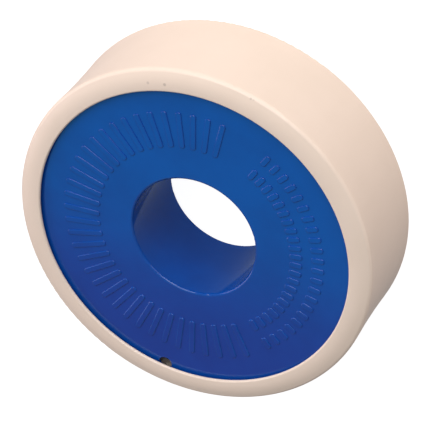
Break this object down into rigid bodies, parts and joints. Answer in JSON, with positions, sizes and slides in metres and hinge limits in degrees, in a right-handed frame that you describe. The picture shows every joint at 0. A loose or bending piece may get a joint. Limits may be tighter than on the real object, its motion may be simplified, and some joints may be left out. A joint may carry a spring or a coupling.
{
  "type": "thread seal tape roll",
  "caption": "Roll of thin thread seal tape on a two-part flanged spool with an open bore, inside a push-on cover ring that turns on the spool and lifts off.",
  "frame": {"origin": "on the spool's axis, in the plane of the cover's rear edge, on which the roll lies", "axes": "+Z is the spool's axis and points out of the front face; the hole in the front flange lies near +Y"},
  "size_m": [0.056, 0.056, 0.0163],
  "materials": {
    "spool_plastic": "moulded, glossy",
    "tape_film": "dry, waxy film",
    "cover_plastic": "moulded, satin"
  },
  "bodies": {
    "spool": {"spool_front_half": "spool_plastic", "spool_rear_half": "spool_plastic", "tape_winding": "tape_film"},
    "tape_end": {"tape_free_end": "tape_film"},
    "cover": {"cover_ring": "cover_plastic"}
  },
  "joints": [
    {"name": "spool_turn", "type": "hinge", "parent": "spool", "child": "tape_end", "pos_m": [0, 0, 0.0083], "axis": [0, 0, 1], "continuous": true},
    {"name": "cover_slide", "type": "slide", "parent": "tape_end", "child": "cover", "axis": [0, 0, 1], "range_m": [0, 0.02]}
  ]
}
